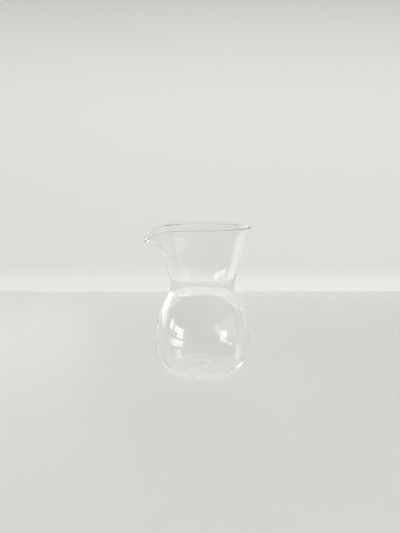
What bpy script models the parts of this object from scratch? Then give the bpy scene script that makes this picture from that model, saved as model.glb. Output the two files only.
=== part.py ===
"""A clear glass pitcher, blown in one piece.

A round bulb stands on a flat foot ring. Above it the glass draws in to a creased waist, then the neck widens
to the rim. The rim is pulled out and down on one side into a short pouring spout.

Metres, Z up, the foot on z = 0. The spout points along -X, and the origin is under the middle of the whole
width, so the axis of the turned body stands at x = AXIS_X.
"""

import bpy
import numpy as np

MM = 0.001

# Foot: a flat ring to stand on, with the glass inside it pushed up a little.
FOOT_RADIUS = 30.3 * MM
PUNT_RADIUS = 16.0 * MM
PUNT_HEIGHT = 1.5 * MM
FOOT_BEND = 4.5 * MM

# Bulb: the widest ring, and how far the curves run straight on from it.
BULB_RADIUS = 44.3 * MM
BULB_HEIGHT = 30.5 * MM
BULB_HANDLE_DOWN = 22.0 * MM
BULB_HANDLE_UP = 13.8 * MM

# Waist: a tight hollow crease under the neck. The shoulder leans in to it.
CREASE_RADIUS = 31.0 * MM
CREASE_HEIGHT = 72.2 * MM
SHOULDER_LEAN = np.radians(31.0)
SHOULDER_HANDLE = 9.6 * MM
NECK_BASE_RADIUS = 29.9 * MM
NECK_BASE_HEIGHT = 76.3 * MM
CREASE_HANDLE = 1.0 * MM

# Neck: widens up to the ring where the lip and the spout begin.
HINGE_RADIUS = 37.85 * MM
HINGE_HEIGHT = 111.0 * MM
HINGE_LEAN = np.radians(12.7)
NECK_HANDLE = 11.2 * MM
HINGE_HANDLE = 12.1 * MM

# Lip: the last strip of wall, from the hinge ring to the rim.
RIM_RADIUS = 44.9 * MM
RIM_HEIGHT = 133.5 * MM
RIM_LEAN = np.radians(34.5)
LIP_HANDLE_LOW = 8.0 * MM
LIP_HANDLE_HIGH = 5.9 * MM

# Spout: the same strip where it is pulled out furthest. Its share fades with the angle from the middle.
SPOUT_REACH = 55.0 * MM
SPOUT_LEAN = np.radians(69.0)
SPOUT_HANDLE_LOW = 3.5 * MM
SPOUT_HANDLE_HIGH = 12.0 * MM
SPOUT_SPREAD = np.radians(17.0)
BEAK_DROP = 8.3 * MM
BEAK_SPREAD = np.radians(14.5)
DIP_DROP = 3.5 * MM
DIP_SPREAD = np.radians(38.0)

# Thickness of the glass, which gathers a little at the waist, and the melted round of the rim.
BASE_WALL = 1.6 * MM
SIDE_WALL = 1.3 * MM
RIM_WALL = 1.1 * MM
BASE_WALL_TOP = 3.0 * MM
SIDE_WALL_START = 10.0 * MM
WAIST_WALL = 1.85 * MM
WAIST_MIDDLE = 70.4 * MM
WAIST_SPREAD = 9.5 * MM
RIM_ROUND = 0.45 * MM
RIM_ROUND_SEGMENTS = 3

# Fineness.
COLUMNS = 64
COLUMN_PULL = 0.5
STRIP_ROWS = 9
STRIP_SAMPLES = 400
MERGE_DISTANCE = 0.00005
SHARP_ANGLE = np.radians(50.0)

AXIS_X = (SPOUT_REACH - RIM_RADIUS) / 2


def clear_scene():
    for obj in list(bpy.data.objects):
        bpy.data.objects.remove(obj, do_unlink=True)
    for collection in list(bpy.data.collections):
        bpy.data.collections.remove(collection)


def lean(angle):
    """The direction of a wall that leans outwards from the vertical by this angle, as (radius, height)."""
    return np.stack([np.sin(angle), np.cos(angle)], axis=-1)


def curve(start, start_handle, end_handle, end, t):
    """A cubic curve from start to end at the shares t, with its two handles given as points."""
    s = 1.0 - t
    return s**3 * start + 3 * s**2 * t * start_handle + 3 * s * t**2 * end_handle + t**3 * end


def fade(offset, spread):
    """A bell curve of the angle or the height from its middle: 1 there, and near 0 past twice the spread."""
    return np.exp(-((offset / spread) ** 2))


def strip_point(angle, t):
    """The wall above the hinge ring, (radius, height) at this angle from the spout. t runs 0 to 1 up to the rim."""
    share = fade(angle, SPOUT_SPREAD)
    rim_radius = RIM_RADIUS + (SPOUT_REACH - RIM_RADIUS) * share
    rim_height = RIM_HEIGHT - BEAK_DROP * fade(angle, BEAK_SPREAD) - DIP_DROP * fade(angle, DIP_SPREAD)
    low = LIP_HANDLE_LOW + (SPOUT_HANDLE_LOW - LIP_HANDLE_LOW) * share
    high = LIP_HANDLE_HIGH + (SPOUT_HANDLE_HIGH - LIP_HANDLE_HIGH) * share
    rim_lean = RIM_LEAN + (SPOUT_LEAN - RIM_LEAN) * share
    start = np.array([HINGE_RADIUS, HINGE_HEIGHT])
    end = np.stack([rim_radius, rim_height], axis=-1)
    start_handle = start + low[..., None] * lean(HINGE_LEAN)
    end_handle = end - high[..., None] * lean(rim_lean)
    return curve(start, start_handle, end_handle, end, t[..., None])


def body_outline():
    """The outer outline below the hinge ring, from that ring down to the axis, as rows of (radius, height)."""
    hinge = np.array([HINGE_RADIUS, HINGE_HEIGHT])
    neck_base = np.array([NECK_BASE_RADIUS, NECK_BASE_HEIGHT])
    crease = np.array([CREASE_RADIUS, CREASE_HEIGHT])
    bulb = np.array([BULB_RADIUS, BULB_HEIGHT])
    foot = np.array([FOOT_RADIUS, 0.0])
    punt = np.array([PUNT_RADIUS, 0.0])
    middle = np.array([0.0, PUNT_HEIGHT])
    up = np.array([0.0, 1.0])
    out = np.array([1.0, 0.0])
    pieces = (
        (hinge, hinge - HINGE_HANDLE * lean(HINGE_LEAN), neck_base + NECK_HANDLE * up, neck_base, 6),
        (neck_base, neck_base - CREASE_HANDLE * up, crease + CREASE_HANDLE * lean(-SHOULDER_LEAN), crease, 3),
        (crease, crease - SHOULDER_HANDLE * lean(-SHOULDER_LEAN), bulb + BULB_HANDLE_UP * up, bulb, 7),
        (bulb, bulb - BULB_HANDLE_DOWN * up, foot + FOOT_BEND * out, foot, 8),
        (foot, foot, punt, punt, 1),
        (punt, punt - PUNT_RADIUS / 3 * out, middle + PUNT_RADIUS / 3 * out, middle, 3),
    )
    rows = [curve(a, b, c, d, np.linspace(0, 1, steps + 1)[1:, None]) for a, b, c, d, steps in pieces]
    return np.vstack([hinge[None, :], *rows])


def turned_body():
    """The outer surface, turned by a Screw from its outline. No spout yet: the strip is a plain lip all round."""
    plain = strip_point(np.full(STRIP_ROWS + 1, np.pi), np.linspace(0, 1, STRIP_ROWS + 1))
    outline = np.vstack([plain[::-1], body_outline()[1:]])
    mesh = bpy.data.meshes.new("outline")
    points = [(radius, 0.0, height) for radius, height in outline]
    mesh.from_pydata(points, [(i, i + 1) for i in range(len(points) - 1)], [])
    obj = bpy.data.objects.new("outline", mesh)
    bpy.context.scene.collection.objects.link(obj)
    screw = obj.modifiers.new("Turn", "SCREW")
    screw.steps = COLUMNS
    screw.render_steps = COLUMNS
    screw.use_merge_vertices = True
    screw.merge_threshold = MERGE_DISTANCE
    bpy.context.view_layer.update()
    turned = bpy.data.meshes.new_from_object(obj.evaluated_get(bpy.context.evaluated_depsgraph_get()))
    bpy.data.objects.remove(obj, do_unlink=True)
    return turned


def pull_spout(mesh):
    """Gathers the columns towards the spout, then carries each column's top strip to its own curve."""
    flat = np.empty(len(mesh.vertices) * 3)
    mesh.vertices.foreach_get("co", flat)
    points = flat.reshape(-1, 3)
    radius = np.hypot(points[:, 0], points[:, 1])
    height = points[:, 2].copy()
    turn = np.arctan2(points[:, 1], points[:, 0])
    angle = turn - COLUMN_PULL * np.sin(turn)
    fine = np.linspace(0, 1, STRIP_SAMPLES)
    plain_height = strip_point(np.full(len(fine), np.pi), fine)[:, 1]
    in_strip = height > HINGE_HEIGHT
    t = np.interp(height[in_strip], plain_height, fine)
    pulled = strip_point(np.abs(angle[in_strip]), t)
    radius[in_strip] = pulled[:, 0]
    height[in_strip] = pulled[:, 1]
    points[:, 0] = AXIS_X - radius * np.cos(angle)
    points[:, 1] = -radius * np.sin(angle)
    points[:, 2] = height
    mesh.vertices.foreach_set("co", points.ravel())
    mesh.update()


def wall_thickness(height):
    """Thick in the base and at the waist, even up the side, a little thinner at the rim."""
    stops = (BASE_WALL_TOP, SIDE_WALL_START, HINGE_HEIGHT, RIM_HEIGHT)
    even = np.interp(height, stops, (BASE_WALL, SIDE_WALL, SIDE_WALL, RIM_WALL))
    return even + (WAIST_WALL - SIDE_WALL) * fade(height - WAIST_MIDDLE, WAIST_SPREAD)


def glass_material():
    material = bpy.data.materials.new("glass")
    material.use_nodes = True
    shader = material.node_tree.nodes["Principled BSDF"]
    shader.inputs["Base Color"].default_value = (0.93, 0.97, 0.96, 1.0)
    shader.inputs["Roughness"].default_value = 0.02
    shader.inputs["IOR"].default_value = 1.47
    shader.inputs["Transmission Weight"].default_value = 1.0
    material.diffuse_color = (0.75, 0.85, 0.85, 0.4)
    return material


def build_pitcher(collection):
    mesh = turned_body()
    mesh.name = "pitcher"
    pull_spout(mesh)
    pitcher = bpy.data.objects.new("pitcher", mesh)
    collection.objects.link(pitcher)
    mesh.materials.clear()
    mesh.materials.append(glass_material())

    thickness = pitcher.vertex_groups.new(name="thickness")
    for vertex in mesh.vertices:
        thickness.add([vertex.index], float(wall_thickness(vertex.co.z)) / WAIST_WALL, "REPLACE")
    wall = pitcher.modifiers.new("Wall", "SOLIDIFY")
    wall.thickness = WAIST_WALL
    wall.offset = -1.0
    wall.use_even_offset = True
    wall.vertex_group = thickness.name

    rim = pitcher.modifiers.new("Melted rim", "BEVEL")
    rim.width = RIM_ROUND
    rim.segments = RIM_ROUND_SEGMENTS
    rim.limit_method = "ANGLE"
    rim.angle_limit = SHARP_ANGLE

    mesh.shade_smooth()
    mesh.set_sharp_from_angle(angle=SHARP_ANGLE)
    return pitcher


clear_scene()
pitcher_collection = bpy.data.collections.new("glass pitcher")
bpy.context.scene.collection.children.link(pitcher_collection)
build_pitcher(pitcher_collection)
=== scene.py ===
# %% [markdown]
# # A blown glass pitcher
#
# This lesson dresses one object: a small clear pitcher that a glassblower would make from a single bubble.
# The bubble is blown into a round bulb, nipped in to a waist, opened out into a neck, and the soft rim is
# pulled down on one side into a spout. Clear glass has hardly any colour of its own. What we see is the room,
# bent through it and mirrored in it, so the exact shape of both faces of the wall matters more than any
# paint.
#
# The frame comes first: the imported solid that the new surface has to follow.

import bpy
import numpy as np
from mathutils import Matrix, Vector


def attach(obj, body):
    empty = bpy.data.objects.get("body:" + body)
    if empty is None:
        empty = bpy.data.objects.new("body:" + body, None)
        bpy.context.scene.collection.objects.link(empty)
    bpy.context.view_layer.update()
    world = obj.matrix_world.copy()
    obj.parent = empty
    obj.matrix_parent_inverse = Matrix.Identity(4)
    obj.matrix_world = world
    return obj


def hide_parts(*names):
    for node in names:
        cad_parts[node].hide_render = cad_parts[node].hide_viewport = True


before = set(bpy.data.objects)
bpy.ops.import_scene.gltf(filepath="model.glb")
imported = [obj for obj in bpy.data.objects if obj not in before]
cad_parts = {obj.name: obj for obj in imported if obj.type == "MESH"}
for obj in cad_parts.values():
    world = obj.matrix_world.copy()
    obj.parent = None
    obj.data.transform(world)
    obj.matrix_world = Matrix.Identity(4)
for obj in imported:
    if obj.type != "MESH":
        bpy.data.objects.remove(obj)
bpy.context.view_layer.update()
MM = 0.001

# %% [markdown]
# ## Where the photographer stood
#
# The outline of a turned body, its rim and its waist line together fix the camera: how far off it was, how
# high, and how much it looked down. The spout was turned a little towards the camera, so in the pitcher's own
# frame, where the spout points along -X, the camera stands round to the left of the front. Everything that
# belongs to the room, such as the wall and the lights, is placed with two directions seen from there:
# "across" to the camera's right, and "away" from it.

# %% Camera
SPOUT_REACH = 55.0 * MM
RIM_RADIUS = 44.9 * MM
AXIS_X = (SPOUT_REACH - RIM_RADIUS) / 2
VIEW_TURN = np.radians(18.0)
VIEW_PITCH = np.radians(9.2)
CAMERA_DISTANCE = 566 * MM
CAMERA_HEIGHT = 188 * MM
CAMERA_SIDESTEP = 2.35 * MM
PHOTO_HEIGHT_PX = 533
FOCAL_PX = 620
SENSOR_MM = 36

across = np.array([np.cos(VIEW_TURN), -np.sin(VIEW_TURN), 0.0])
away = np.array([np.sin(VIEW_TURN), np.cos(VIEW_TURN), 0.0])
up = np.array([0.0, 0.0, 1.0])


def room_point(right, forward, height):
    """A point of the room: the pitcher's axis, plus so much across, away and up, all in metres."""
    return np.array([AXIS_X, 0.0, 0.0]) + right * across + forward * away + height * up


camera_data = bpy.data.cameras.new("photo camera")
camera_data.sensor_width = SENSOR_MM
camera_data.lens = FOCAL_PX / PHOTO_HEIGHT_PX * SENSOR_MM
camera_data.clip_start = 0.01
camera = bpy.data.objects.new("photo camera", camera_data)
bpy.context.scene.collection.objects.link(camera)
camera.location = room_point(-CAMERA_SIDESTEP, -CAMERA_DISTANCE, CAMERA_HEIGHT)
gaze = away * np.cos(VIEW_PITCH) - up * np.sin(VIEW_PITCH)
camera.rotation_euler = Vector(gaze).to_track_quat("-Z", "Y").to_euler()
bpy.context.scene.camera = camera
print("lens in mm:", round(camera_data.lens, 2))

# %% [markdown]
# ## The outline
#
# A blown body is a turned shape, so one line says nearly all of it. That line is a chain of cubic curves,
# each given by its two ends and the way it leaves them: the pushed-up middle of the base, the flat foot ring,
# the bulb, the shoulder that leans in to the waist, the tight hollow crease, and the neck. The same sizes
# made the solid, so the fine surface lies on it. A spline through many measured points would fit no better,
# and it would hide which sizes matter.

# %% The body's outline
FOOT_RADIUS = 30.3 * MM
PUNT_RADIUS = 16.0 * MM
PUNT_HEIGHT = 1.5 * MM
FOOT_BEND = 4.5 * MM
BULB_RADIUS = 44.3 * MM
BULB_HEIGHT = 30.5 * MM
BULB_HANDLE_DOWN = 22.0 * MM
BULB_HANDLE_UP = 13.8 * MM
CREASE_RADIUS = 31.0 * MM
CREASE_HEIGHT = 72.2 * MM
SHOULDER_LEAN = np.radians(31.0)
SHOULDER_HANDLE = 9.6 * MM
NECK_BASE_RADIUS = 29.9 * MM
NECK_BASE_HEIGHT = 76.3 * MM
CREASE_HANDLE = 1.0 * MM
HINGE_RADIUS = 37.85 * MM
HINGE_HEIGHT = 111.0 * MM
HINGE_LEAN = np.radians(12.7)
NECK_HANDLE = 11.2 * MM
HINGE_HANDLE = 12.1 * MM


def lean(angle):
    """The direction (outwards, up) of a wall that leans outwards from the vertical by this angle."""
    return np.stack([np.sin(angle), np.cos(angle)], axis=-1)


def curve(start, start_handle, end_handle, end, t):
    """The cubic curve: the four points weighted by s^3, 3 s^2 t, 3 s t^2 and t^3, where s = 1 - t."""
    s = 1.0 - t
    return s**3 * start + 3 * s**2 * t * start_handle + 3 * s * t**2 * end_handle + t**3 * end


def body_outline():
    """Rows of (radius, height), from the middle of the base up to the ring where the lip begins."""
    middle = np.array([0.0, PUNT_HEIGHT])
    punt = np.array([PUNT_RADIUS, 0.0])
    foot = np.array([FOOT_RADIUS, 0.0])
    bulb = np.array([BULB_RADIUS, BULB_HEIGHT])
    crease = np.array([CREASE_RADIUS, CREASE_HEIGHT])
    neck_base = np.array([NECK_BASE_RADIUS, NECK_BASE_HEIGHT])
    hinge = np.array([HINGE_RADIUS, HINGE_HEIGHT])
    rise = np.array([0.0, 1.0])
    out = np.array([1.0, 0.0])
    pieces = (
        (middle, middle + PUNT_RADIUS / 3 * out, punt - PUNT_RADIUS / 3 * out, punt, 12),
        (punt, punt + 3 * MM * out, foot - 3 * MM * out, foot, 8),
        (foot, foot + FOOT_BEND * out, bulb - BULB_HANDLE_DOWN * rise, bulb, 38),
        (bulb, bulb + BULB_HANDLE_UP * rise, crease - SHOULDER_HANDLE * lean(-SHOULDER_LEAN), crease, 36),
        (crease, crease + CREASE_HANDLE * lean(-SHOULDER_LEAN), neck_base - CREASE_HANDLE * rise, neck_base, 10),
        (neck_base, neck_base + NECK_HANDLE * rise, hinge - HINGE_HANDLE * lean(HINGE_LEAN), hinge, 24),
    )
    rows = [curve(a, b, c, d, np.linspace(0, 1, steps + 1)[1:, None]) for a, b, c, d, steps in pieces]
    return np.vstack([middle[None, :], *rows])


outline = body_outline()
print("rows below the lip:", len(outline))

# %% [markdown]
# ## The lip and the spout
#
# On the real pitcher the spout is the same strip of wall as the lip, pulled out while soft. So it isn't a
# tube stuck on. Each column of the wall leaves one ring at the same slant, and follows its own cubic curve to
# its own place on the rim. Where that place is, is a bell curve of the angle from the middle of the spout: a
# narrow one pulls the beak out and down, and a broad one lets the whole front of the rim dip towards it.

# %% The strip of wall above the hinge ring
RIM_HEIGHT = 133.5 * MM
RIM_LEAN = np.radians(34.5)
LIP_HANDLE_LOW = 8.0 * MM
LIP_HANDLE_HIGH = 5.9 * MM
SPOUT_LEAN = np.radians(69.0)
SPOUT_HANDLE_LOW = 3.5 * MM
SPOUT_HANDLE_HIGH = 12.0 * MM
SPOUT_SPREAD = np.radians(17.0)
BEAK_DROP = 8.3 * MM
BEAK_SPREAD = np.radians(14.5)
DIP_DROP = 3.5 * MM
DIP_SPREAD = np.radians(38.0)


def fade(offset, spread):
    """The bell curve exp(-(offset / spread)^2): 1 in the middle, near 0 past twice the spread."""
    return np.exp(-((offset / spread) ** 2))


def rim_handle(angle):
    """Length of the curve's handle at the rim. The curve runs past its end at three times this per unit of t."""
    return LIP_HANDLE_HIGH + (SPOUT_HANDLE_HIGH - LIP_HANDLE_HIGH) * fade(angle, SPOUT_SPREAD)


def strip(angle, t):
    """(radius, height) of the wall at this angle from the spout and the share t of the way from hinge to rim."""
    share = fade(angle, SPOUT_SPREAD)
    rim_radius = RIM_RADIUS + (SPOUT_REACH - RIM_RADIUS) * share
    rim_height = RIM_HEIGHT - BEAK_DROP * fade(angle, BEAK_SPREAD) - DIP_DROP * fade(angle, DIP_SPREAD)
    low = LIP_HANDLE_LOW + (SPOUT_HANDLE_LOW - LIP_HANDLE_LOW) * share
    rim_lean = RIM_LEAN + (SPOUT_LEAN - RIM_LEAN) * share
    start = np.array([HINGE_RADIUS, HINGE_HEIGHT])
    end = np.stack([rim_radius, rim_height], axis=-1)
    start_handle = start + low[..., None] * lean(HINGE_LEAN)
    end_handle = end - rim_handle(angle)[..., None] * lean(rim_lean)
    return curve(start, start_handle, end_handle, end, t[..., None])


spout_tip = strip(np.zeros(1), np.ones(1))[0]
print("spout's tip, radius and height in mm:", np.round(spout_tip / MM, 1).tolist())

# %% [markdown]
# ## The outer face
#
# Light bends once at each face of the wall, so the wall needs an inside as exact as its outside. The outer
# face comes first: one column of points per angle, from the middle of the base to the rim. The columns stand
# closer together at the spout, and the rows closer together at the rim, because the curves are tightest
# there. The face stops short of the edge by half the width of the rim's melted bead, which is made further
# down.

# %% The outer face
COLUMNS = 264
COLUMN_PULL = 0.45
STRIP_ROWS = 40
STRIP_CROWDING = 1.7
BEAD_WIDTH = 1.7 * MM
BEAD_UNEVEN = 0.3 * MM


def gathered(turn):
    """Angle of each column from the spout: turn - pull sin(turn) brings the columns closer together there."""
    return turn - COLUMN_PULL * np.sin(turn)


def bead_width(angle):
    """Width of the melted bead, heavier on one side of the rim: width - uneven sin(angle)."""
    return BEAD_WIDTH - BEAD_UNEVEN * np.sin(angle)


def outer_face(angle):
    """Grid of points, rows up the outline and columns round the axis.

    x = axis - radius cos(angle), y = -radius sin(angle), z = height.
    """
    from_spout = np.abs((angle + np.pi) % (2 * np.pi) - np.pi)
    shares = 1 - np.linspace(1, 0, STRIP_ROWS + 1)[1:, None] ** STRIP_CROWDING
    last = 1 - bead_width(angle) / 2 / (3 * rim_handle(from_spout))
    above = strip(*np.broadcast_arrays(from_spout[None, :], shares * last[None, :]))
    below = np.broadcast_to(outline[:, None, :], (len(outline), len(angle), 2))
    radius, height = np.moveaxis(np.concatenate([below, above]), -1, 0)
    return np.stack([AXIS_X - radius * np.cos(angle), -radius * np.sin(angle), height], axis=-1)


columns = gathered(np.arange(COLUMNS) * 2 * np.pi / COLUMNS)
outer = outer_face(columns)
print("outer face in mm:", np.round([outer.min((0, 1)) / MM, outer.max((0, 1)) / MM], 1).tolist())

# %% [markdown]
# ## Thickness and ripple
#
# Solidify could make the inner face, but here the thickness changes on the way up, so it is worked out: every
# point of the outer face steps inwards along its own normal. Blown glass is never quite even, and the eye
# knows it by the ripple in its reflections. A few long, shallow waves on each face give that ripple. They are
# finer than a hair, but a mirror image doubles every slope. The foot has none, so that it stands flat. Near
# the rim both faces swell a little, for the bead that comes next.

# %% The inner face
BASE_WALL = 1.6 * MM
SIDE_WALL = 1.3 * MM
RIM_WALL = 1.1 * MM
BASE_WALL_TOP = 3.0 * MM
SIDE_WALL_START = 10.0 * MM
WAIST_WALL = 1.85 * MM
WAIST_MIDDLE = 70.4 * MM
WAIST_SPREAD = 9.5 * MM
BEAD_FADE = 1.0 * MM
RIPPLE_WAVES = 9
RIPPLE_MOST_TURNS = 9
RIPPLE_SLANTS = (90, 420)
OUTER_RIPPLE = 0.010 * MM
OUTER_SEED = 3
INNER_RIPPLE = 0.030 * MM
INNER_SEED = 8
FLAT_BELOW = 1.0 * MM
RIPPLE_GROWS_OVER = 6.0 * MM


def outward_normals(grid):
    """Unit normals: the cross product of the step round and the step up the outline, taken by differences."""
    upward = np.gradient(grid, axis=0)
    wrapped = np.concatenate([grid[:, -1:], grid, grid[:, :1]], axis=1)
    around = (wrapped[:, 2:] - wrapped[:, :-2]) / 2
    normal = np.cross(around, upward)
    normal[0] = (0.0, 0.0, -1.0)
    return normal / np.linalg.norm(normal, axis=-1, keepdims=True)


def ripple(grid, seed, size):
    """size / sqrt(count) times the sum of waves sin(turns angle + slant z + phase), with random values."""
    random = np.random.default_rng(seed)
    angle = np.arctan2(grid[..., 1], grid[..., 0] - AXIS_X)
    total = np.zeros(angle.shape)
    for _ in range(RIPPLE_WAVES):
        turns = random.integers(1, RIPPLE_MOST_TURNS)
        slant = random.uniform(*RIPPLE_SLANTS)
        phase = random.uniform(0, 2 * np.pi)
        total += np.sin(turns * angle + slant * grid[..., 2] + phase)
    return size * total / np.sqrt(RIPPLE_WAVES)


def wall_at(height):
    """Thickness: straight lines between base, side and rim, plus a bell curve of the height at the waist."""
    stops = (BASE_WALL_TOP, SIDE_WALL_START, HINGE_HEIGHT, RIM_HEIGHT)
    even = np.interp(height, stops, (BASE_WALL, SIDE_WALL, SIDE_WALL, RIM_WALL))
    return even + (WAIST_WALL - SIDE_WALL) * fade(height - WAIST_MIDDLE, WAIST_SPREAD)


normals = outward_normals(outer)
wall = wall_at(outer[..., 2])
off_foot = np.clip((outer[..., 2] - FLAT_BELOW) / RIPPLE_GROWS_OVER, 0, 1)
from_edge = np.linalg.norm(outer - outer[-1], axis=-1)
swell = (bead_width(columns) - RIM_WALL) / 2 * fade(from_edge, BEAD_FADE)
outer_wavy = outer + normals * (swell - ripple(outer, OUTER_SEED, OUTER_RIPPLE) * off_foot)[..., None]
inner = outer - normals * (wall + swell + ripple(outer, INNER_SEED, INNER_RIPPLE) * off_foot)[..., None]
print("wall in mm, from and to:", np.round([wall.min() / MM, wall.max() / MM], 2).tolist())

# %% [markdown]
# ## The melted rim
#
# The cut edge of the glass is held in the flame until it softens, and surface tension draws it into a bead
# wider than the wall. No flame heats a rim evenly, so the bead is heavier on one side. Half a circle across
# the two faces makes it. A Bevel would only round the corners and couldn't bulge. The bead is a small round
# lens: it bends the view so far up that it shows the dim room above the picture, which draws the rim in dark
# lines.

# %% The rim bead
BEAD_ROWS = 9


def rim_bead(outer_end, inner_end, forward):
    """Rows between two rings: middle + cos(a) side + sin(a) |side| forward, for angles a between 0 and pi."""
    middle = (outer_end + inner_end) / 2
    side = outer_end - middle
    reach = np.linalg.norm(side, axis=-1, keepdims=True) * forward
    turns = np.linspace(0, np.pi, BEAD_ROWS + 2)[1:-1]
    return np.stack([middle + np.cos(a) * side + np.sin(a) * reach for a in turns])


forward = outer[-1] - outer[-2]
forward /= np.linalg.norm(forward, axis=-1, keepdims=True)
bead = rim_bead(outer_wavy[-1], inner[-1], forward)
across_bead = np.linalg.norm(outer_wavy[-1] - inner[-1], axis=-1) / MM
print("bead in mm, from and to:", np.round([across_bead.min(), across_bead.max()], 2).tolist())

# %% [markdown]
# ## One closed skin
#
# All the rows in order make one grid: up the outside, over the rim, and down the inside to the base. Each
# cell of the grid is a quad, the last column joins the first, and the two middles of the base are single
# points with a fan of triangles, so the skin has no hole and no seam. It replaces the plain solid, and rides
# on the same body.

# %% The mesh of the pitcher


def closed_mesh(name, rows):
    """A mesh from a grid of rings: the first and last rings shrink to a point, each other cell is one quad."""
    count, width = rows.shape[:2]
    rings = rows[1:-1].reshape(-1, 3)
    points = np.vstack([rings, rows[0, 0], rows[-1, 0]])
    ring = np.arange((count - 2) * width).reshape(count - 2, width)
    beside = np.roll(ring, -1, axis=1)
    quads = np.stack([ring[:-1], beside[:-1], beside[1:], ring[1:]], axis=-1).reshape(-1, 4)
    first, last = len(rings), len(rings) + 1
    start_fan = np.stack([np.full(width, first), beside[0], ring[0]], axis=-1)
    end_fan = np.stack([np.full(width, last), ring[-1], beside[-1]], axis=-1)
    mesh = bpy.data.meshes.new(name)
    mesh.from_pydata(points.tolist(), [], [*quads.tolist(), *start_fan.tolist(), *end_fan.tolist()])
    mesh.update()
    mesh.shade_smooth()
    return mesh


def signed_volume(mesh):
    """Volume in cubic centimetres, the sum of a . (b x c) / 6 over the triangles, below zero if inside out."""
    mesh.calc_loop_triangles()
    points = np.empty(len(mesh.vertices) * 3)
    mesh.vertices.foreach_get("co", points)
    corners = np.empty(len(mesh.loop_triangles) * 3, dtype=np.int32)
    mesh.loop_triangles.foreach_get("vertices", corners)
    a, b, c = np.moveaxis(points.reshape(-1, 3)[corners.reshape(-1, 3)], 1, 0)
    return float(np.einsum("ij,ij->i", a, np.cross(b, c)).sum() / 6 * 1e6)


skin = np.concatenate([outer_wavy, bead, inner[::-1]])
glass_mesh = closed_mesh("pitcher glass", skin)
if signed_volume(glass_mesh) < 0:
    glass_mesh.flip_normals()
pitcher = bpy.data.objects.new("pitcher_glass", glass_mesh)
bpy.context.scene.collection.objects.link(pitcher)
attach(pitcher, "root")
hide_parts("pitcher")
print("faces:", len(glass_mesh.polygons), "glass in cm3:", round(signed_volume(glass_mesh), 2))

# %% [markdown]
# ## Clear glass
#
# The shader is plain: full transmission and the bending power of heat-resistant glass. Its index is 1.47, a
# little under window glass. Real detail comes from what handling and blowing leave behind. A faint smear of
# roughness here and there softens a highlight, and a very shallow bump of drawn-out streaks makes the
# mirrored edges wander.

# %% The glass material
GLASS_INDEX = 1.47
GLASS_TINT = (0.998, 0.999, 0.997, 1.0)
SMEAR_SCALE = 38.0
SMEAR_FROM = 0.45
SMEAR_TO = 0.75
SMEAR_ROUGHNESS = 0.035
STREAK_SCALES = (90.0, 90.0, 28.0)
STREAK_STRENGTH = 0.35
STREAK_DEPTH = 0.05 * MM


def add_node(tree, kind, **values):
    """A new node of the tree, with these of its properties set."""
    node = tree.nodes.new(kind)
    for name, value in values.items():
        setattr(node, name, value)
    return node


def glass_finish():
    """Clear glass: a noise past a threshold gives the roughness, and a stretched noise the bump."""
    material = bpy.data.materials.new("clear blown glass")
    material.use_nodes = True
    tree = material.node_tree
    shader = tree.nodes["Principled BSDF"]
    shader.inputs["Base Color"].default_value = GLASS_TINT
    shader.inputs["IOR"].default_value = GLASS_INDEX
    shader.inputs["Transmission Weight"].default_value = 1.0
    place = add_node(tree, "ShaderNodeTexCoord")

    smear = add_node(tree, "ShaderNodeTexNoise")
    smear.inputs["Scale"].default_value = SMEAR_SCALE
    smear.inputs["Detail"].default_value = 3.0
    smear_range = add_node(tree, "ShaderNodeMapRange")
    smear_range.inputs["From Min"].default_value = SMEAR_FROM
    smear_range.inputs["From Max"].default_value = SMEAR_TO
    smear_range.inputs["To Max"].default_value = SMEAR_ROUGHNESS
    tree.links.new(place.outputs["Object"], smear.inputs["Vector"])
    tree.links.new(smear.outputs["Fac"], smear_range.inputs["Value"])
    tree.links.new(smear_range.outputs["Result"], shader.inputs["Roughness"])

    stretch = add_node(tree, "ShaderNodeMapping")
    stretch.inputs["Scale"].default_value = STREAK_SCALES
    streak = add_node(tree, "ShaderNodeTexNoise")
    streak.inputs["Scale"].default_value = 1.0
    streak.inputs["Detail"].default_value = 2.0
    bump = add_node(tree, "ShaderNodeBump")
    bump.inputs["Strength"].default_value = STREAK_STRENGTH
    bump.inputs["Distance"].default_value = STREAK_DEPTH
    tree.links.new(place.outputs["Object"], stretch.inputs["Vector"])
    tree.links.new(stretch.outputs["Vector"], streak.inputs["Vector"])
    tree.links.new(streak.outputs["Fac"], bump.inputs["Height"])
    tree.links.new(bump.outputs["Normal"], shader.inputs["Normal"])
    return material


glass_mesh.materials.append(glass_finish())
print("index of refraction:", GLASS_INDEX)

# %% [markdown]
# ## The colour of table and wall
#
# Both are pale, with a faint mottle, so that neither is a dead flat colour. The wall is painted a little lighter
# at its foot, a painted glow for the light that the table throws back onto it, and painted darker above the top
# of the picture, a painted shade for the light that falls off upwards. Clear glass shows its edges only where it
# bends the view to something darker. So this painted dim part of the wall, which the camera never sees directly,
# draws the dark lines of the rim and the neck. Both materials use the same effect, so it is a node group with a
# socket for each amount.

# %% The mottle and the painted light
MOTTLE_STRENGTH = 0.03
MOTTLE_DETAIL = 4.0
# Height of the painted light at the wall's foot, and the span of the painted shade above the picture.
PAINTED_FOOT_LIGHT_HEIGHT = 0.05
PAINTED_HEAD_SHADE_FROM = 0.22
PAINTED_HEAD_SHADE_TO = 0.75


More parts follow.
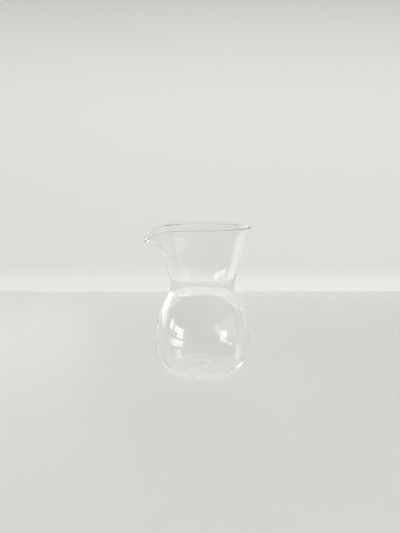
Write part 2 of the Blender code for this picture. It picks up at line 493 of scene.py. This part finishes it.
def mottle_and_light_group():
    """Group: colour x (1 + strength (noise - 0.5) + painted foot light x foot mask - painted head shade x head
    mask).

    The noise is the mottle. The foot mask falls from 1 at the table to 0 and paints light bounced up from the
    table, and the head mask rises from 0 to 1 above the picture and paints shade there.
    """
    group = bpy.data.node_groups.new("mottle and painted light", "ShaderNodeTree")
    group.interface.new_socket("Colour", in_out="INPUT", socket_type="NodeSocketColor")
    for name in ("Size", "Strength", "Painted foot light", "Painted head shade"):
        group.interface.new_socket(name, in_out="INPUT", socket_type="NodeSocketFloat")
    group.interface.new_socket("Colour", in_out="OUTPUT", socket_type="NodeSocketColor")
    inside = add_node(group, "NodeGroupInput")
    outside = add_node(group, "NodeGroupOutput")
    place = add_node(group, "ShaderNodeTexCoord")
    noise = add_node(group, "ShaderNodeTexNoise")
    noise.inputs["Detail"].default_value = MOTTLE_DETAIL
    centred = add_node(group, "ShaderNodeMath", operation="SUBTRACT")
    centred.inputs[1].default_value = 0.5
    scaled = add_node(group, "ShaderNodeMath", operation="MULTIPLY_ADD")
    scaled.inputs[2].default_value = 1.0
    apart = add_node(group, "ShaderNodeSeparateXYZ")
    # Painted light: the wall is made lighter near the table, for light that the table throws back onto it.
    foot = add_node(group, "ShaderNodeMapRange", interpolation_type="SMOOTHERSTEP")
    foot.inputs["From Max"].default_value = PAINTED_FOOT_LIGHT_HEIGHT
    foot.inputs["To Min"].default_value = 1.0
    foot.inputs["To Max"].default_value = 0.0
    with_foot_light = add_node(group, "ShaderNodeMath", operation="MULTIPLY_ADD")
    # Painted shade: the wall is made darker above the picture, where the light falls off upwards.
    head = add_node(group, "ShaderNodeMapRange", interpolation_type="SMOOTHERSTEP")
    head.inputs["From Min"].default_value = PAINTED_HEAD_SHADE_FROM
    head.inputs["From Max"].default_value = PAINTED_HEAD_SHADE_TO
    shaded = add_node(group, "ShaderNodeMath", operation="MULTIPLY")
    with_head_shade = add_node(group, "ShaderNodeMath", operation="SUBTRACT")
    shade = add_node(group, "ShaderNodeVectorMath", operation="SCALE")
    for source, target in (
        (place.outputs["Object"], noise.inputs["Vector"]),
        (place.outputs["Object"], apart.inputs["Vector"]),
        (inside.outputs["Size"], noise.inputs["Scale"]),
        (noise.outputs["Fac"], centred.inputs[0]),
        (centred.outputs[0], scaled.inputs[0]),
        (inside.outputs["Strength"], scaled.inputs[1]),
        (apart.outputs["Z"], foot.inputs["Value"]),
        (foot.outputs["Result"], with_foot_light.inputs[0]),
        (inside.outputs["Painted foot light"], with_foot_light.inputs[1]),
        (scaled.outputs[0], with_foot_light.inputs[2]),
        (apart.outputs["Z"], head.inputs["Value"]),
        (head.outputs["Result"], shaded.inputs[0]),
        (inside.outputs["Painted head shade"], shaded.inputs[1]),
        (with_foot_light.outputs[0], with_head_shade.inputs[0]),
        (shaded.outputs[0], with_head_shade.inputs[1]),
        (inside.outputs["Colour"], shade.inputs[0]),
        (with_head_shade.outputs[0], shade.inputs["Scale"]),
        (shade.outputs[0], outside.inputs["Colour"]),
    ):
        group.links.new(source, target)
    return group


mottle_and_painted_light = mottle_and_light_group()
print("mottle nodes:", len(mottle_and_painted_light.nodes))

# %% [markdown]
# ## Table and wall
#
# The pitcher stands on a table in front of a wall, and the line where they meet is seen through the glass,
# bent and turned round. So both are real planes at their real places, not a curved backdrop. The wall's
# distance follows from how high that line stands in the picture. The table is satin and the wall is matt.

# %% The stage
WALL_BEHIND = 361 * MM
WALL_WIDTH = 5.0
WALL_HEIGHT = 3.0
TABLE_DEPTH = 5.0
TABLE_BELOW = 0.1 * MM
PALE = (0.80, 0.797, 0.782, 1.0)
TABLE_LOOK = {"size": 6.0, "roughness": 0.45, "specular": 0.2}
# The wall's last two amounts are painted light: a lighter foot for light bounced from the table, and a painted
# shade above the picture.
WALL_LOOK = {"size": 3.0, "roughness": 0.9, "specular": 0.15, "painted_foot_light": 0.12, "painted_head_shade": 0.85}


def stage_finish(name, size, roughness, specular, painted_foot_light=0.0, painted_head_shade=0.0):
    """A pale finish with the mottle, the painted foot light and the painted head shade in these amounts."""
    material = bpy.data.materials.new(name)
    material.use_nodes = True
    tree = material.node_tree
    shader = tree.nodes["Principled BSDF"]
    shader.inputs["Roughness"].default_value = roughness
    shader.inputs["Specular IOR Level"].default_value = specular
    mottle = add_node(tree, "ShaderNodeGroup", node_tree=mottle_and_painted_light)
    mottle.inputs["Colour"].default_value = PALE
    mottle.inputs["Size"].default_value = size
    mottle.inputs["Strength"].default_value = MOTTLE_STRENGTH
    # The last two amounts paint light and shade onto the wall: a lighter foot and a darker head.
    mottle.inputs["Painted foot light"].default_value = painted_foot_light
    mottle.inputs["Painted head shade"].default_value = painted_head_shade
    tree.links.new(mottle.outputs["Colour"], shader.inputs["Base Color"])
    return material


def sheet(name, corner, side, rise, material):
    """A plain rectangle: the corner, the corner plus side, plus both, and plus rise."""
    mesh = bpy.data.meshes.new(name)
    corners = [corner, corner + side, corner + side + rise, corner + rise]
    mesh.from_pydata([tuple(c) for c in corners], [], [(0, 1, 2, 3)])
    mesh.materials.append(material)
    obj = bpy.data.objects.new(name, mesh)
    bpy.context.scene.collection.objects.link(obj)


left_end = room_point(-WALL_WIDTH / 2, WALL_BEHIND, -TABLE_BELOW)
whole_width = WALL_WIDTH * across
near_left = left_end - TABLE_DEPTH * away
sheet("table", near_left, whole_width, TABLE_DEPTH * away, stage_finish("satin table", **TABLE_LOOK))
sheet("wall", left_end, whole_width, WALL_HEIGHT * up, stage_finish("matt wall", **WALL_LOOK))
print("wall behind the axis in mm:", round(WALL_BEHIND / MM))

# %% [markdown]
# ## The window
#
# The highlights tell where the light was. Each point of the bulb mirrors one direction of the room, and the
# bright patch on its left front, its upside-down twin on the inside at the right, and the one low in the neck
# all point to the same place: a wide, low window on the left, 4 to 16 degrees up. It shows in three pieces,
# so there are three panes. Each is an area light, whose shape the glass mirrors, and its power is worked out
# from how bright its mirror image has to be.

# %% Panels of light and the window
DAYLIGHT = (1.0, 0.996, 0.985)
WINDOW_DISTANCE = 1.2
WINDOW_RADIANCE = 4.4
# Each pane's name, its turn to the left, its width, and the heights of its lower and upper edge.
WINDOW_PANES = (
    ("window, near pane", 55.0, 0.295, 0.085, 0.325),
    ("window, upper pane", 67.5, 0.230, 0.220, 0.330),
    ("window, far pane", 85.0, 0.220, 0.200, 0.350),
)


def panel(name, centre, target, width, height, radiance):
    """A rectangular light at the centre, facing the target. Its power is pi x radiance x area."""
    light = bpy.data.lights.new(name, "AREA")
    light.shape = "RECTANGLE"
    light.size = width
    light.size_y = height
    light.energy = np.pi * radiance * width * height
    light.color = DAYLIGHT
    obj = bpy.data.objects.new(name, light)
    bpy.context.scene.collection.objects.link(obj)
    obj.location = centre
    obj.rotation_euler = Vector(target - centre).to_track_quat("-Z", "Y").to_euler()
    obj.visible_camera = False
    return obj


def upright(name, turn, distance, width, low, high, radiance):
    """An upright panel facing the axis, so many degrees round it from the camera's side, below 0 to the left."""
    height = (low + high) / 2
    centre = room_point(distance * np.sin(np.radians(turn)), -distance * np.cos(np.radians(turn)), height)
    return panel(name, centre, room_point(0, 0, height), width, high - low, radiance)


for name, turn, width, low, high in WINDOW_PANES:
    upright(name, -turn, WINDOW_DISTANCE, width, low, high, WINDOW_RADIANCE)
print("panes:", len(WINDOW_PANES))

# %% [markdown]
# ## The window's glare on the table
#
# Daylight from the window also lies on the table to the left of the pitcher, and the bulb mirrors it just
# below the window's own image, with a dimmer streak under it. A bright sheet on the table would do, but the
# neck leans outwards, and it would mirror such a sheet as a broad white band. So two small panels stand low
# and face the bulb, and their light has a narrow spread: from the height of the neck, they are dark.

# %% Glare
GLARE_SPREAD = np.radians(60.0)
# Each glare's name, its centre, what it faces, its width, its height and its radiance.
GLARES = (
    ("window's glare", (-0.125, -0.079, 0.017), (-0.035, -0.025, 0.017), 0.093, 0.030, 0.46),
    ("glare by the foot", (-0.051, -0.048, 0.0045), (-0.022, -0.020, 0.022), 0.022, 0.026, 0.35),
)

for name, centre, target, width, height, radiance in GLARES:
    glare = panel(name, room_point(*centre), room_point(*target), width, height, radiance)
    glare.data.spread = GLARE_SPREAD
    glare.visible_diffuse = False
print("glare panels:", len(GLARES))

# %% [markdown]
# ## The bright sides
#
# A glass edge shows what stands far to its side. On the left, a bright zone behind the pitcher fills the edge
# of the bulb with a wide pale band, and shows once more as the light line in the right of the neck. A
# broader, dimmer side on the right lights the other edge. The zone is kept off matt surfaces, so it leaves no
# pool on the table.

# %% Bright side and bright zone
SIDE = {"turn": 68.0, "distance": 1.5, "width": 1.3, "low": 0.04, "high": 0.60, "radiance": 0.75}
ZONE_LEFT = 0.62
ZONE_BEHIND = 0.34
ZONE_MIDDLE = 0.14
ZONE_WIDTH = 0.90
ZONE_HEIGHT = 0.18
ZONE_RADIANCE = 1.20

upright("bright side", **SIDE)
zone_centre = room_point(-ZONE_LEFT, ZONE_BEHIND, ZONE_MIDDLE)
zone_target = room_point(-ZONE_LEFT, 0.0, ZONE_MIDDLE)
zone = panel("bright zone", zone_centre, zone_target, ZONE_WIDTH, ZONE_HEIGHT, ZONE_RADIANCE)
zone.visible_diffuse = False
print("bright zone in watts:", round(zone.data.energy, 2))

# %% [markdown]
# ## Fill light
#
# The window alone would leave the table and the wall dark. Two large soft lights bring them to their
# paleness, as a ceiling and a far window would. Neither shows in the glass, and neither casts a shadow,
# because the real pitcher has hardly any.

# %% The two fills
# Each fill's name, its centre, what it faces, the length of its side and its power in watts.
FILLS = (
    ("fill from above", (-0.35, -0.2, 1.6), (0.0, 0.1, 0.0), 1.2, 11.3),
    ("fill for the wall", (0.7, -1.6, 0.9), (0.2, WALL_BEHIND, 0.2), 1.0, 18.2),
)

for name, centre, target, size, power in FILLS:
    soft = panel(name, room_point(*centre), room_point(*target), size, size, power / (np.pi * size**2))
    soft.visible_glossy = False
    soft.visible_transmission = False
    soft.data.use_shadow = False
    soft.data.cycles.use_multiple_importance_sampling = False

# %% [markdown]
# ## The room all round
#
# Whatever isn't wall, table or panel is the world. It is pale near the horizon and dim higher up, the more so
# on the left. The dim part does what the head of the wall does: rays that the rim and the spout bend upwards
# end in it, and the edge turns dark. A plain white world would make the pitcher almost vanish.

# %% The world
HORIZON_RADIANCE = 0.42
SKY_LEFT_RADIANCE = 0.03
SKY_RIGHT_RADIANCE = 0.30
SKY_DIMS_FROM = 0.08
SKY_DIMS_TO = 0.36
SKY_LEFT_ENDS = -0.1
SKY_RIGHT_STARTS = 0.7


def soft_room():
    """A world whose strength goes from the horizon's to the sky's with height, the sky's from left to right."""
    world = bpy.data.worlds.new("soft room")
    world.use_nodes = True
    tree = world.node_tree
    place = add_node(tree, "ShaderNodeTexCoord")
    apart = add_node(tree, "ShaderNodeSeparateXYZ")
    high = add_node(tree, "ShaderNodeMapRange", interpolation_type="SMOOTHSTEP")
    high.inputs["From Min"].default_value = SKY_DIMS_FROM
    high.inputs["From Max"].default_value = SKY_DIMS_TO
    to_right = add_node(tree, "ShaderNodeVectorMath", operation="DOT_PRODUCT")
    to_right.inputs[1].default_value = across
    right = add_node(tree, "ShaderNodeMapRange", interpolation_type="SMOOTHSTEP")
    right.inputs["From Min"].default_value = SKY_LEFT_ENDS
    right.inputs["From Max"].default_value = SKY_RIGHT_STARTS
    right.inputs["To Min"].default_value = SKY_LEFT_RADIANCE
    right.inputs["To Max"].default_value = SKY_RIGHT_RADIANCE
    mixed = add_node(tree, "ShaderNodeMix")
    mixed.inputs[2].default_value = HORIZON_RADIANCE
    background = tree.nodes["Background"]
    background.inputs["Color"].default_value = (*DAYLIGHT, 1.0)
    for source, target in (
        (place.outputs["Generated"], apart.inputs["Vector"]),
        (apart.outputs["Z"], high.inputs["Value"]),
        (place.outputs["Generated"], to_right.inputs[0]),
        (to_right.outputs["Value"], right.inputs["Value"]),
        (high.outputs["Result"], mixed.inputs[0]),
        (right.outputs["Result"], mixed.inputs[3]),
        (mixed.outputs[0], background.inputs["Strength"]),
    ):
        tree.links.new(source, target)
    return world


scene = bpy.context.scene
scene.world = soft_room()
print("world:", scene.world.name)

# %% [markdown]
# ## How far the light may go
#
# Light that enters the wall of the pitcher runs along inside it, mirrored from face to face many times before
# it comes out. With the usual few bounces such paths end in black, so the limit is high. Cycles also smooths
# sharp reflections that follow a matt bounce. That saves noise, but here it keeps the light of the table from
# passing through the glass, and draws a shadow at the foot that the real pitcher hasn't, so it is turned off.

# %% Bounces
WALL_BOUNCES = 200

scene.view_settings.view_transform = "Standard"
scene.cycles.blur_glossy = 0.0
for kind in ("max_bounces", "transmission_bounces", "glossy_bounces"):
    setattr(scene.cycles, kind, WALL_BOUNCES)
print("bounces:", scene.cycles.max_bounces)
